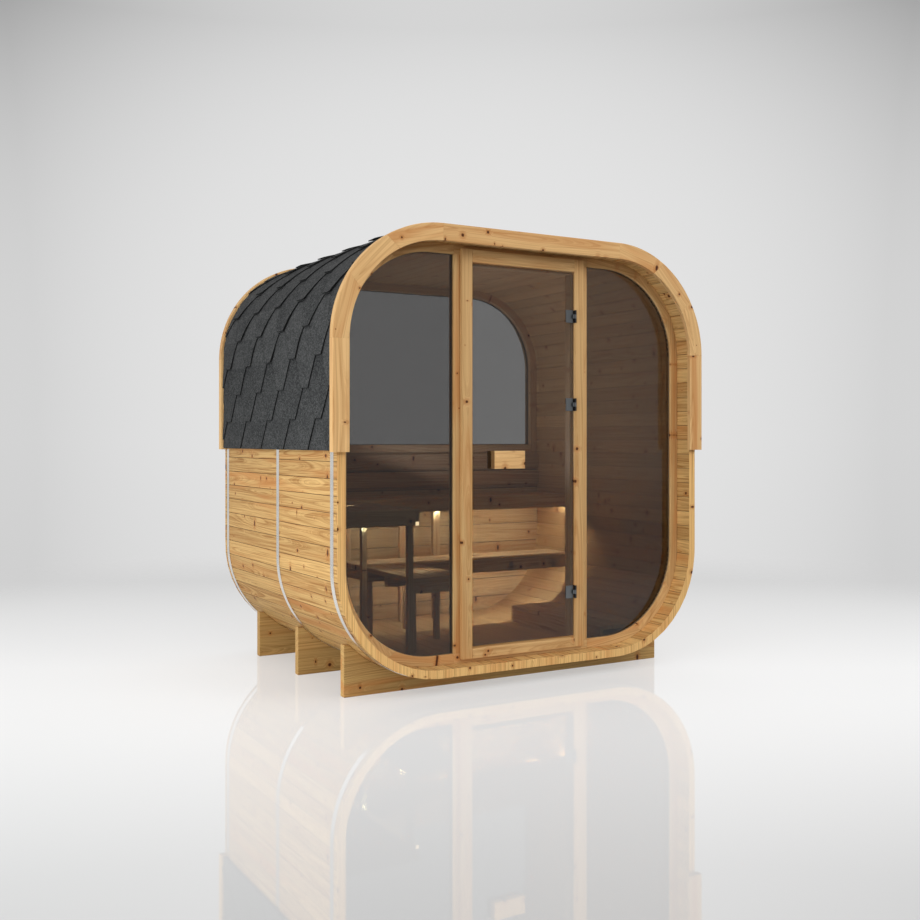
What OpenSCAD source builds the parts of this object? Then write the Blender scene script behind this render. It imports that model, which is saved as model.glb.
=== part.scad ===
// Cube sauna: a rounded-square shell of staves on three saddles, closed by a glazed front
// wall with a hinged glass door and by a back wall with a half-height window.
// Units are millimetres. X runs across the front, Y from front to back, Z up from the ground.
// The origin lies on the ground under the middle of the shell. The front faces -Y.

/* [Shell] */
// Outer width of the shell
shell_w = 2100; // [1800:10:2600]
// Outer height of the shell
shell_h = 2100; // [1900:10:2600]
// Length of the shell from its front end to its back end
shell_len = 1550; // [1300:10:2400]
// Outer radius of the shell's four rounded corners
corner_r = 530; // [420:5:620]
// Thickness of the staves
stave_t = 40; // [30:1:50]
// Gap between the ground and the underside of the shell
ground_gap = 80; // [50:5:140]

/* [Saddles] */
// Length of a saddle across the sauna
saddle_len = 1860; // [1500:10:2000]
// Height of a saddle at its ends
saddle_h = 245; // [180:5:300]
// Thickness of a saddle board
saddle_t = 40; // [30:1:60]
// Distance from each end of the shell to the saddle under it
saddle_inset = 190; // [120:5:300]

/* [Bands] */
// Width of a steel band
band_w = 36; // [20:1:60]
// Thickness of a steel band
band_t = 2; // [1:0.5:3]
// Distance from each end of the shell to the middle of its band
band_inset = 53; // [30:1:90]
// Distance from the middle of the shell to the middle band, towards the front
band_mid_shift = 51; // [40:1:120]

/* [Roof] */
// Thickness of the shingled roof covering
roof_t = 22; // [12:1:28]
// Height of the covering's lower edge above the middle of the shell
roof_drop = 20; // [-200:5:300]

/* [Trims] */
// Width of the trim boards round the roof's two ends
trim_w = 82; // [60:1:110]
// Thickness of the trim boards
trim_t = 23; // [15:1:35]
// How far the trims stand out past the staves, over the edge of the covering
trim_rise = 30; // [28:1:40]
// Depth of the lip behind each trim that closes the covering's edge
trim_lip = 15; // [8:1:30]
// Height of the trims' lower ends above the middle of the shell
trim_drop = 14; // [-200:1:20]

/* [Front wall] */
// Distance from the shell's front end to the front wall
front_inset = 94; // [60:1:300]
// Thickness of the front and the back wall
wall_t = 48; // [40:1:70]
// Width of the frame round the front wall and the back window
frame_w = 48; // [35:1:70]
// Half the distance between the outer faces of the two door posts
post_half = 398; // [380:1:430]
// Thickness of the window panes
pane_t = 8; // [6:1:10]
// Depth of the panes behind the front of the frame
pane_inset = 16; // [6:1:20]

/* [Door] */
// Width of the door opening
door_w = 608; // [560:1:640]
// Height of the door opening above the shell's inner floor
door_sill_z = 73; // [60:1:100]
// Gap between the door opening and the top of the frame round the front wall
door_head_gap = 83; // [70:1:140]
// Width of the casing boards at the sides of the door
casing_w = 60; // [40:1:70]
// Thickness of the casing boards
casing_t = 20; // [16:1:30]
// How far the casing laps over the frame above and below the door
casing_lap = 28; // [10:1:40]
// How far the casing's sill falls towards the outside
sill_fall = 10; // [4:1:14]
// How far the posts and the head reach into the opening behind the door, as its stop
door_stop = 12; // [8:1:20]
// Thickness of the door glass
door_t = 8; // [6:1:10]
// Gap round the door glass
door_gap = 6; // [5:0.5:8]
// Depth of the door glass behind the front of the casing
door_inset = 4; // [3:1:8]
// Heights of the three hinges above the shell's inner floor
hinge_zs = [302, 1258, 1708]; // [200:1:1900]
// Height of a hinge
hinge_h = 64; // [50:1:90]
// Width of the hinge plate on the glass
hinge_plate_w = 46; // [35:1:60]
// Radius of a hinge's knuckle
knuckle_r = 6; // [5:0.5:8]
// Radius of a hinge's pin
pin_r = 2.5; // [2:0.5:4]
// Clearance between a pin and the knuckle round it
pin_clear = 0.3; // [0.2:0.1:0.5]
// Width of the handle blocks
handle_w = 180; // [120:5:240]
// Height of the handle blocks
handle_h = 88; // [60:2:140]
// Thickness of each handle block
handle_t = 30; // [20:1:45]
// Distance from the free edge of the door glass to the handle
handle_edge = 102; // [60:1:140]
// Height of the handle's middle above the shell's inner floor
handle_z = 980; // [850:5:1100]
// Distance from each end of the handle to its bolt
handle_bolt_inset = 40; // [20:1:50]

/* [Back wall] */
// Distance from the shell's back end to the back wall
back_inset = 50; // [30:1:200]
// Height of the back window's lower edge above the shell's inner floor
window_z = 1047; // [700:5:1200]
// Height of the rail under the back window
rail_h = 48; // [35:1:70]

/* [Side step] */
// Height of the side step above the shell's inner floor
step_h = 95; // [60:1:150]
// Length of the side step from the front wall to the back
step_len = 862; // [500:1:1000]
// Thickness of the side step's boards
step_t = 22; // [18:1:30]

/* [Benches] */
// Height of the upper bench above the shell's inner floor
upper_z = 740; // [680:5:800]
// Height of the lower bench above the shell's inner floor
lower_z = 380; // [300:5:450]
// Width of the upper bench along the left wall
upper_wing_w = 510; // [450:5:600]
// Gap between the front wall and the upper bench
upper_front_gap = 108; // [60:1:200]
// Distance from the upper bench's front to its second leg
upper_leg_pitch = 550; // [450:10:650]
// Depth of the upper bench along the back wall
upper_back_d = 350; // [300:5:400]
// Width of the lower bench's wing
lower_wing_w = 320; // [280:5:380]
// Gap between the upper and the lower bench, seen from above
lower_side_gap = 51; // [30:1:100]
// Gap between the front wall and the lower bench
lower_front_gap = 271; // [200:1:400]
// Depth of the lower bench along the back wall
lower_back_d = 300; // [250:5:350]
// Gap between the lower bench and the back wall
lower_back_gap = 150; // [100:5:180]
// Distances from the upper bench's side to the posts behind the lower bench
back_post_xs = [69, 431, 657]; // [40:1:900]
// Thickness of the bench slats
slat_t = 28; // [20:1:35]
// Width of a bench slat, before the slats are fitted to the bench
slat_w = 88; // [60:1:120]
// Gap between the slats
slat_gap = 8; // [4:1:15]
// Height of the benches' front boards
bench_edge_h = 80; // [60:1:110]
// Thickness of the benches' front boards
bench_edge_t = 22; // [18:1:30]
// Thickness of the bench legs and of the bearers under the slats
leg_t = 30; // [25:1:45]
// Width of the posts behind the lower bench
post_w = 45; // [38:1:60]
// Size of the light profiles
light_t = 18; // [12:1:22]
// Thickness of the backrest boards
backrest_t = 22; // [18:1:30]
// Width of a backrest board
backrest_w = 95; // [70:1:120]
// Gap between the upper bench and the lowest backrest board
backrest_gap = 48; // [30:1:80]
// Gap between the backrest boards
backrest_pitch_gap = 12; // [8:1:40]

/* [Hidden] */
$fn = 96;

WOOD = "burlywood";
DARK_WOOD = "peru";
GLASS = [0.35, 0.33, 0.31, 0.6];

half_w = shell_w / 2;
half_h = shell_h / 2;
front_y = -shell_len / 2;
back_y = shell_len / 2;
mid_z = ground_gap + half_h;
arc_x = half_w - corner_r;
arc_z = half_h - corner_r;

inner_half_w = half_w - stave_t;
inner_half_h = half_h - stave_t;
floor_z = ground_gap + stave_t;
ceiling_z = ground_gap + shell_h - stave_t;

wall_y = front_y + front_inset;
wall_back_y = wall_y + wall_t;
back_wall_y = back_y - back_inset - wall_t;

door_half = door_w / 2;
door_z0 = floor_z + door_sill_z;
door_z1 = ceiling_z - door_head_gap;
casing_y = wall_y - casing_t;
glass_y = casing_y + door_inset;
glass_half = door_half - door_gap;
glass_z0 = door_z0 + door_gap;
glass_z1 = door_z1 - door_gap;

hinge_leaf_t = 3;
hinge_stand = 2;
hinge_x = door_half;
hinge_y = casing_y - knuckle_r - hinge_stand;
hinge_plate_t = 4;
hinge_plate_x = glass_half - 2;
hinge_arm_w = 8;
knuckle_gap = 0.5;

handle_x = -glass_half + handle_edge + handle_w / 2;
handle_bolt_x = handle_w / 2 - handle_bolt_inset;
bolt_r = 4;
bolt_clear = 1;

saddle_y = back_y - saddle_inset - saddle_t / 2;

// Middles of the front, the middle and the back band
band_ys = [front_y + band_inset, -band_mid_shift, back_y - band_inset];
band_groove = 2;
trim_in = trim_rise - trim_w;
rail_z = floor_z + window_z - rail_h;
step_end_y = wall_back_y + step_len;

upper_top = floor_z + upper_z;
lower_top = floor_z + lower_z;
upper_z0 = upper_top - bench_edge_h;
lower_z0 = lower_top - bench_edge_h;
bearer_h = bench_edge_h - slat_t;

upper_right_x = -inner_half_w + upper_wing_w;
upper_edge_x = upper_right_x - bench_edge_t;
upper_front_y = wall_back_y + upper_front_gap;
upper_back_y = back_wall_y - upper_back_d;
upper_edge_y = upper_back_y + bench_edge_t;

lower_left_x = upper_right_x + lower_side_gap;
lower_right_x = lower_left_x + lower_wing_w;
lower_front_y = wall_back_y + lower_front_gap;
lower_end_y = back_wall_y - lower_back_gap;
lower_back_y = lower_end_y - lower_back_d;
lower_edge_y = lower_back_y + bench_edge_t;

// Bearers across the wings (y) and across the back parts (x); the last ones stand near the walls
bearer_end = 200;
upper_wing_bearers = [upper_front_y + bench_edge_t, upper_front_y + upper_leg_pitch,
                      upper_back_y - leg_t, back_wall_y - leg_t];
upper_back_bearers = concat([for (x = back_post_xs) upper_right_x + x],
                            [inner_half_w - bearer_end]);
lower_wing_bearers = [lower_front_y + bench_edge_t, (lower_front_y + lower_back_y) / 2,
                      lower_back_y - 2 * leg_t];
lower_back_bearers = [lower_left_x, lower_right_x - leg_t,
                      inner_half_w / 2, inner_half_w - bearer_end];

// Outline of the shell in its cross-section, grown outwards by g
module outline(g = 0) {
    square([2 * arc_x, 2 * (half_h + g)], center = true);
    square([2 * (half_w + g), 2 * arc_z], center = true);
    for (sx = [-1, 1], sz = [-1, 1]) {
        translate([sx * arc_x, sz * arc_z]) circle(corner_r + g);
    }
}

// Band between two outlines of the shell
module ring(inner, outer) {
    difference() {
        outline(outer);
        outline(inner);
    }
}

// Extrudes a cross-section of the shell from y0 over a length
module along(y0, length) {
    translate([0, y0 + length, mid_z]) rotate([90, 0, 0]) linear_extrude(length) children();
}

// Keeps the part of a cross-section between two corners
module clip(low, high) {
    intersection() {
        children();
        translate(low) square(high - low);
    }
}

// Box between two opposite corners
module box(low, high) {
    translate(low) cube(high - low);
}

// Trims its children to the inside of the shell
module inside_shell() {
    intersection() {
        union() children();
        along(front_y, shell_len) outline(-stave_t);
    }
}

// Turns a front piece round to the back end
module at_back() {
    mirror([0, 1, 0]) children();
}

/* Saddles */
// Board under the shell, cut out to its outline, with its middle at y
module saddle(y) {
    color(DARK_WOOD)
    translate([0, y + saddle_t / 2, 0]) rotate([90, 0, 0]) linear_extrude(saddle_t)
    difference() {
        translate([-saddle_len / 2, 0]) square([saddle_len, saddle_h]);
        translate([0, mid_z]) outline();
    }
}

/* Shell */
module corner_staves(sx, sz) {
    color(WOOD)
    along(front_y, shell_len)
    clip([sx > 0 ? arc_x : -half_w, sz > 0 ? arc_z : -half_h],
         [sx > 0 ? half_w : -arc_x, sz > 0 ? half_h : -arc_z])
    ring(-stave_t, 0);
}

module flat_staves(z0) {
    color(WOOD) box([-arc_x, front_y, z0], [arc_x, back_y, z0 + stave_t]);
}

module side_staves(x0) {
    color(WOOD) box([x0, front_y, mid_z - arc_z], [x0 + stave_t, back_y, mid_z + arc_z]);
}

/* Bands and roof */
module bands() {
    color("silver")
    for (y = band_ys) along(y - band_w / 2, band_w) ring(0, band_t);
}

// Skin over the staves, grooved on its underside where the bands run
module roof_covering() {
    groove_w = band_w + 2 * band_groove;
    roof_y = front_y + trim_lip;
    color("dimgray")
    difference() {
        along(roof_y, -2 * roof_y)
        clip([-half_w - roof_t, roof_drop], [half_w + roof_t, half_h + roof_t])
        ring(0, roof_t);
        for (y = band_ys) along(y - groove_w / 2, groove_w) ring(-1, band_t);
    }
}

/* Trims */
// One trim piece: the board in front of the stave ends with a lip over the covering's edge
module trim_piece(low, high) {
    color(WOOD) {
        along(front_y - trim_t, trim_t) clip(low, high) ring(trim_in, trim_rise);
        along(front_y, trim_lip) clip(low, high) ring(0, trim_rise);
    }
}

module trim_top() {
    trim_piece([-arc_x, arc_z], [arc_x, half_h + trim_rise]);
}

module trim_corner(sx) {
    trim_piece([sx > 0 ? arc_x : -half_w - trim_rise, arc_z],
               [sx > 0 ? half_w + trim_rise : -arc_x, half_h + trim_rise]);
}

module trim_leg(sx) {
    trim_piece([sx > 0 ? 0 : -half_w - trim_rise, trim_drop],
               [sx > 0 ? half_w + trim_rise : 0, arc_z]);
}

/* Front wall */
module front_frame(sx) {
    color(WOOD)
    along(wall_y, wall_t)
    clip([sx > 0 ? post_half : -inner_half_w, -inner_half_h],
         [sx > 0 ? inner_half_w : -post_half, inner_half_h])
    ring(-stave_t - frame_w, -stave_t);
}

module front_rail(z0) {
    color(WOOD) box([-post_half, wall_y, z0], [post_half, wall_back_y, z0 + frame_w]);
}

module door_post(sx) {
    width = post_half - door_half + door_stop;
    color(WOOD)
    box([sx > 0 ? post_half - width : -post_half, wall_y, floor_z + frame_w],
        [sx > 0 ? post_half : -post_half + width, wall_back_y, ceiling_z - frame_w]);
}

// Casing round the door: two boards, a head and a sill that slopes to the outside
module door_casing() {
    stop_half = door_half - door_stop;
    color(WOOD)
    difference() {
        union() {
            box([-door_half - casing_w, casing_y, floor_z + frame_w - casing_lap],
                [door_half + casing_w, wall_y, ceiling_z - frame_w + casing_lap]);
            box([-stop_half, wall_y, floor_z + frame_w], [stop_half, wall_back_y, door_z0]);
            box([-stop_half, wall_y, door_z1 - door_stop],
                [stop_half, wall_back_y, ceiling_z - frame_w]);
        }
        box([-door_half, casing_y - 1, door_z0], [door_half, wall_y, door_z1]);
        sill_slope();
        for (z = hinge_zs) {
            box([door_half - 1, casing_y - 1, floor_z + z - hinge_h / 2],
                [door_half + hinge_leaf_t, wall_y - 2, floor_z + z + hinge_h / 2]);
        }
    }
}

// Wedge that is planed off the sill in front of the door glass
module sill_slope() {
    translate([-door_half, 0, 0]) rotate([90, 0, 90]) linear_extrude(door_w)
    polygon([[casing_y, door_z0 - sill_fall], [casing_y, door_z0], [wall_y, door_z0]]);
}

module front_window(sx) {
    color(GLASS)
    along(wall_y + pane_inset, pane_t)
    clip([sx > 0 ? post_half : -inner_half_w, -inner_half_h],
         [sx > 0 ? inner_half_w : -post_half, inner_half_h])
    outline(-stave_t - frame_w);
}

/* Back wall */
module back_frame() {
    color(WOOD)
    along(back_wall_y, wall_t)
    clip([-inner_half_w, rail_z - mid_z], [inner_half_w, inner_half_h])
    ring(-stave_t - frame_w, -stave_t);
}

module back_rail() {
    x = inner_half_w - frame_w;
    color(WOOD) box([-x, back_wall_y, rail_z], [x, back_wall_y + wall_t, rail_z + rail_h]);
}

module back_boards() {
    color(WOOD)
    along(back_wall_y, wall_t)
    clip([-inner_half_w, -inner_half_h], [inner_half_w, rail_z - mid_z])
    outline(-stave_t);
}

module back_window() {
    color(GLASS)
    along(back_wall_y + wall_t - pane_inset / 2 - pane_t, pane_t)
    clip([-inner_half_w, rail_z + rail_h - mid_z], [inner_half_w, inner_half_h])
    outline(-stave_t - frame_w);
}

/* Side step */
// Step along the right wall: a riser and a top board that reaches the curved staves
module side_step() {
    color(WOOD)
    inside_shell() {
        box([arc_x, wall_back_y, floor_z], [arc_x + step_t, step_end_y, floor_z + step_h]);
        box([arc_x, wall_back_y, floor_z + step_h - step_t],
            [inner_half_w, step_end_y, floor_z + step_h]);
    }
}

/* Benches */
// Number and pitch of the slats that fill a depth evenly
function slat_count(depth) = floor((depth + slat_gap) / (slat_w + slat_gap));
function slat_pitch(depth) = (depth + slat_gap) / slat_count(depth);

// Slats below the height top that run along Y, side by side between two corners
module slats_along_y(low, high, top) {
    depth = high.x - low.x;
    pitch = slat_pitch(depth);
    for (i = [0 : slat_count(depth) - 1]) {
        x = low.x + i * pitch;
        box([x, low.y, top - slat_t], [x + pitch - slat_gap, high.y, top]);
    }
}

// Slats below the height top that run along X, side by side between two corners
module slats_along_x(low, high, top) {
    depth = high.y - low.y;
    pitch = slat_pitch(depth);
    for (i = [0 : slat_count(depth) - 1]) {
        y = low.y + i * pitch;
        box([low.x, y, top - slat_t], [high.x, y + pitch - slat_gap, top]);
    }
}

// Bench along the left wall and the back wall; its wing's edge board stands on a light profile
module upper_bench() {
    color(WOOD)
    inside_shell() {
        slats_along_y([-inner_half_w, upper_wing_bearers[0]], [upper_edge_x, back_wall_y], upper_top);
        slats_along_x([upper_edge_x, upper_edge_y], [inner_half_w, back_wall_y], upper_top);
        box([-inner_half_w, upper_front_y, upper_z0],
            [upper_edge_x, upper_front_y + bench_edge_t, upper_top]);
        box([upper_edge_x, upper_front_y, upper_z0 + light_t],
            [upper_right_x, upper_edge_y, upper_top]);
        box([upper_right_x, upper_back_y, upper_z0], [inner_half_w, upper_edge_y, upper_top]);
        for (y = upper_wing_bearers) {
            box([-inner_half_w, y, upper_z0], [upper_edge_x, y + leg_t, upper_z0 + bearer_h]);
        }
        for (x = upper_back_bearers) {
            box([x, upper_edge_y, upper_z0], [x + post_w, back_wall_y, upper_z0 + bearer_h]);
        }
    }
}

// Lower bench in front of the upper one, free of the back wall
module lower_bench() {
    color(WOOD)
    inside_shell() {
        slats_along_y([lower_left_x, lower_wing_bearers[0]], [lower_right_x, lower_edge_y], lower_top);
        slats_along_x([lower_left_x, lower_edge_y], [inner_half_w, lower_end_y], lower_top);
        box([lower_left_x, lower_front_y, lower_z0],
            [lower_right_x, lower_front_y + bench_edge_t, lower_top]);
        box([lower_right_x, lower_back_y, lower_z0], [inner_half_w, lower_edge_y, lower_top]);
        for (y = lower_wing_bearers) {
            box([lower_left_x, y, lower_z0], [lower_right_x, y + leg_t, lower_z0 + bearer_h]);
        }
        for (x = lower_back_bearers) {
            box([x, lower_back_y, lower_z0], [x + leg_t, lower_end_y, lower_z0 + bearer_h]);
        }
    }
}

// Leg from the shell's floor up to a bench
module leg(x, y, width, top) {
    inside_shell() box([x, y, floor_z], [x + width, y + leg_t, top]);
}

module bench_posts() {
    upper_leg_x = upper_edge_x - leg_t;
    right_leg_x = lower_right_x - leg_t;
    color(WOOD) {
        for (i = [0, 1]) leg(upper_leg_x, upper_wing_bearers[i], leg_t, upper_z0);
        for (x = back_post_xs) leg(upper_right_x + x, lower_end_y, post_w, upper_z0);
        for (i = [0, 2]) leg(lower_left_x, lower_wing_bearers[i], leg_t, lower_z0);
        for (i = [0, 1]) leg(right_leg_x, lower_wing_bearers[i], leg_t, lower_z0);
        leg(right_leg_x, lower_edge_y + post_w, leg_t, lower_z0);
    }
}

// Two backrest boards along the left wall and the back wall
module backrest() {
    pitch = backrest_w + backrest_pitch_gap;
    color(WOOD)
    for (z = [upper_top + backrest_gap, upper_top + backrest_gap + pitch]) {
        box([-inner_half_w, upper_front_y, z],
            [-inner_half_w + backrest_t, back_wall_y, z + backrest_w]);
        box([-inner_half_w + backrest_t, back_wall_y - backrest_t, z],
            [inner_half_w, back_wall_y, z + backrest_w]);
    }
}

// Light profiles under the slats, one in each bay between two bearers
module bay_lights(bearers, bearer_w, y, top) {
    for (i = [1 : len(bearers) - 1]) {
        box([bearers[i - 1] + bearer_w, y, top - light_t], [bearers[i], y + light_t, top]);
    }
}

module bench_lights() {
    color("moccasin") {
        box([upper_edge_x, upper_front_y, upper_z0],
            [upper_edge_x + light_t, upper_edge_y, upper_z0 + light_t]);
        bay_lights(upper_back_bearers, post_w, upper_edge_y, upper_top - slat_t);
        bay_lights(lower_back_bearers, leg_t, lower_edge_y, lower_top - slat_t);
    }
}

/* Door */
// Fixed half of a hinge: the outer thirds of the knuckle, the pin and the leaf in the casing
module hinge_base(z) {
    third = hinge_h / 3;
    stand = casing_y - hinge_y;
    translate([hinge_x, hinge_y, z]) {
        for (z0 = [-hinge_h / 2, third / 2]) {
            translate([0, 0, z0]) cylinder(h = third, r = knuckle_r);
            translate([0, 0, z0]) cube([hinge_leaf_t, stand + 1, third]);
        }
        translate([0, 0, -hinge_h / 2]) cylinder(h = hinge_h, r = pin_r);
        translate([0, stand, -hinge_h / 2]) cube([hinge_leaf_t, casing_t - 2, hinge_h]);
    }
}

module hinge_bases() {
    color("dimgray")
    for (z = hinge_zs) hinge_base(floor_z + z);
}

// Moving half of a hinge: the middle third of the knuckle, an arm and the plate on the glass
module hinge_leaf(z) {
    third = hinge_h / 3 - 2 * knuckle_gap;
    translate([0, 0, z])
    difference() {
        union() {
            translate([hinge_x, hinge_y, -third / 2]) cylinder(h = third, r = knuckle_r);
            box([hinge_plate_x - hinge_arm_w, hinge_y - 1, -third / 2],
                [hinge_x, hinge_y + hinge_plate_t, third / 2]);
            box([hinge_plate_x - hinge_arm_w, hinge_y - 1, -third / 2],
                [hinge_plate_x, glass_y, third / 2]);
            box([hinge_plate_x - hinge_plate_w, glass_y - hinge_plate_t, -hinge_h / 2],
                [hinge_plate_x, glass_y, hinge_h / 2]);
        }
        translate([hinge_x, hinge_y, -hinge_h]) cylinder(h = 2 * hinge_h, r = pin_r + pin_clear);
    }
}

module hinge_leaves() {
    color("silver")
    for (z = hinge_zs) hinge_leaf(floor_z + z);
}

module handle_bolts(y0, y1, r) {
    for (x = [handle_x - handle_bolt_x, handle_x + handle_bolt_x]) {
        translate([x, y1, floor_z + handle_z]) rotate([90, 0, 0]) cylinder(h = y1 - y0, r = r);
    }
}

module door_glass() {
    glass_back_y = glass_y + door_t;
    color(GLASS)
    difference() {
        box([-glass_half, glass_y, glass_z0], [glass_half, glass_back_y, glass_z1]);
        handle_bolts(glass_y - 1, glass_back_y + 1, bolt_r + bolt_clear);
    }
}

// One wooden block on each side of the glass, bolted together through it
module door_handle() {
    z0 = floor_z + handle_z - handle_h / 2;
    color(WOOD) {
        for (y = [glass_y - handle_t, glass_y + door_t]) {
            translate([handle_x - handle_w / 2, y, z0]) cube([handle_w, handle_t, handle_h]);
        }
        handle_bolts(glass_y - 1, glass_y + door_t + 1, bolt_r);
    }
}

saddle(-saddle_y);  // saddle_front
saddle(0);  // saddle_middle
saddle(saddle_y);  // saddle_back
flat_staves(ground_gap);  // floor_staves
flat_staves(ceiling_z);  // ceiling_staves
side_staves(-half_w);  // left_wall_staves
side_staves(inner_half_w);  // right_wall_staves
corner_staves(-1, -1);  // corner_bottom_left
corner_staves(1, -1);  // corner_bottom_right
corner_staves(-1, 1);  // corner_top_left
corner_staves(1, 1);  // corner_top_right
bands();
roof_covering();
trim_top();  // front_trim_top
trim_corner(-1);  // front_trim_corner_left
trim_corner(1);  // front_trim_corner_right
trim_leg(-1);  // front_trim_leg_left
trim_leg(1);  // front_trim_leg_right
at_back() trim_top();  // back_trim_top
at_back() trim_corner(-1);  // back_trim_corner_left
at_back() trim_corner(1);  // back_trim_corner_right
at_back() trim_leg(-1);  // back_trim_leg_left
at_back() trim_leg(1);  // back_trim_leg_right
front_frame(-1);  // front_frame_left
front_frame(1);  // front_frame_right
front_rail(ceiling_z - frame_w);  // front_head_rail
front_rail(floor_z);  // front_bottom_rail
door_post(-1);  // door_post_left
door_post(1);  // door_post_right
door_casing();
front_window(-1);  // front_window_left
front_window(1);  // front_window_right
back_frame();
back_rail();
back_boards();
back_window();
side_step();
upper_bench();
lower_bench();
bench_posts();
backrest();
bench_lights();
hinge_bases();
hinge_leaves();
door_glass();
door_handle();
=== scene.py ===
"""Looks of the cube sauna: boards, shingles, glass and light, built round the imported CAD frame.

Units are metres. +X is to the right as seen from in front of the door, +Y runs from the
front end to the back, and +Z is up. The shell's outline lies in the XZ plane. A length s on
it runs clockwise from the top's middle, and g is a distance outwards from it.
"""

import math
import random

import bmesh
import bpy
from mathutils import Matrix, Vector


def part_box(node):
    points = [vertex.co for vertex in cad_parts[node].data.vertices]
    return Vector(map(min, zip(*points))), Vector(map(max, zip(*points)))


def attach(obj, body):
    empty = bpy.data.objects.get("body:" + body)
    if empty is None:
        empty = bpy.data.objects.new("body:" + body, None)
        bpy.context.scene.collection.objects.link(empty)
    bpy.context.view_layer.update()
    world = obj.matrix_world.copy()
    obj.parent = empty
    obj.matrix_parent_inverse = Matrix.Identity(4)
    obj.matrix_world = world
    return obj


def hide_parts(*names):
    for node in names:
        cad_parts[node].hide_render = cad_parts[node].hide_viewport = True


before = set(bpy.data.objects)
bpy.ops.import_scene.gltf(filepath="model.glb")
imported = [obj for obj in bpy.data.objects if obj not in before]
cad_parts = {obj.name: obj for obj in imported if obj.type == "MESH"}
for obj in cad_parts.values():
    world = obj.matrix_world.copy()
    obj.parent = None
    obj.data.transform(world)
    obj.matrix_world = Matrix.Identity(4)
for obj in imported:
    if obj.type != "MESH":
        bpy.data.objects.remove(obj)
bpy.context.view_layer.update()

ALONG_X, ALONG_Y, ALONG_Z = 0, 1, 2
FINE_CUT, CUT, SOFT_CUT = 0.0015, 0.002, 0.003  # chamfers on the boards' edges
JOINT = 0.0004  # length of a board's end that a joint darkens

# -------------------- the shell's outline

left_lo, left_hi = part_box("left_wall_staves")
floor_lo, floor_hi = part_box("floor_staves")
FRONT_Y, BACK_Y = left_lo.y, left_hi.y
HALF_W = -left_lo.x
STAVE_T = left_hi.x - left_lo.x
INNER_X = HALF_W - STAVE_T
MID_Z = (left_lo.z + left_hi.z) / 2
ARC_Z = (left_hi.z - left_lo.z) / 2
ARC_X = floor_hi.x
HALF_H = MID_Z - floor_lo.z
CORNER_R = HALF_W - ARC_X
QUARTER = math.pi / 2 * CORNER_R
PERIMETER = 4 * (ARC_X + ARC_Z + QUARTER)

# Straight runs of the outline: start, direction, outward normal and length
RUNS = [
    (Vector((0, MID_Z + HALF_H)), Vector((1, 0)), Vector((0, 1)), ARC_X),
    (Vector((HALF_W, MID_Z + ARC_Z)), Vector((0, -1)), Vector((1, 0)), 2 * ARC_Z),
    (Vector((ARC_X, MID_Z - HALF_H)), Vector((-1, 0)), Vector((0, -1)), 2 * ARC_X),
    (Vector((-HALF_W, MID_Z - ARC_Z)), Vector((0, 1)), Vector((-1, 0)), 2 * ARC_Z),
    (Vector((-ARC_X, MID_Z + HALF_H)), Vector((1, 0)), Vector((0, 1)), ARC_X),
]
# Ends of the corner arcs, as lengths on the outline, each named after the run it meets
TOP_RIGHT = ARC_X
RIGHT_TOP = ARC_X + QUARTER
RIGHT_BOTTOM = RIGHT_TOP + 2 * ARC_Z
BOTTOM_RIGHT = RIGHT_BOTTOM + QUARTER
ARC_STEPS = math.ceil(QUARTER / (math.radians(3) * CORNER_R))


def rim(s, g=0.0):
    """The point (x, z) at length s on the outline, g outside it."""
    s %= PERIMETER
    for start, direction, normal, length in RUNS:
        if s <= length:
            return start + direction * s + normal * g
        s -= length
        if s < QUARTER:
            turn = s / CORNER_R
            out = normal * math.cos(turn) + direction * math.sin(turn)
            return start + direction * length - normal * CORNER_R + out * (CORNER_R + g)
        s -= QUARTER
    return RUNS[0][0] + RUNS[0][2] * g


def on_rim(s, y, g):
    """The point in space at length s on the outline, g outside it, at y along the shell."""
    x, z = rim(s, g)
    return Vector((x, y, z))


def rim_stops(s0, s1, margin=0.0):
    """Lengths from s0 to s1 that follow the outline's curves closely."""
    stops, at = [], 0.0
    for _, _, _, length in RUNS:
        at += length
        stops += [at + QUARTER * i / ARC_STEPS for i in range(ARC_STEPS + 1)]
        at += QUARTER
    stops = [s + turn for turn in (-PERIMETER, 0, PERIMETER) for s in stops if s <= PERIMETER]
    margin += 1e-4
    return [s0] + sorted(s for s in stops if s0 + margin < s < s1 - margin) + [s1]


def half_width(z, g=0.0):
    """Half the width of the outline, grown by g, at the height z."""
    rise = min(abs(z - MID_Z), ARC_Z + CORNER_R + g) - ARC_Z
    if rise <= 0:
        return HALF_W + g
    return ARC_X + math.sqrt(max(0.0, (CORNER_R + g) ** 2 - rise**2))


def underside(x, g=0.0):
    """Height of the outline's lower half, grown by g, at x."""
    over = max(0.0, abs(x) - ARC_X)
    return MID_Z - ARC_Z - math.sqrt(max(0.0, (CORNER_R + g) ** 2 - over**2))


# -------------------- pieces

ATTRIBUTE_FIELDS = {"FLOAT": "value", "FLOAT_VECTOR": "vector", "FLOAT_COLOR": "color"}


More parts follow.
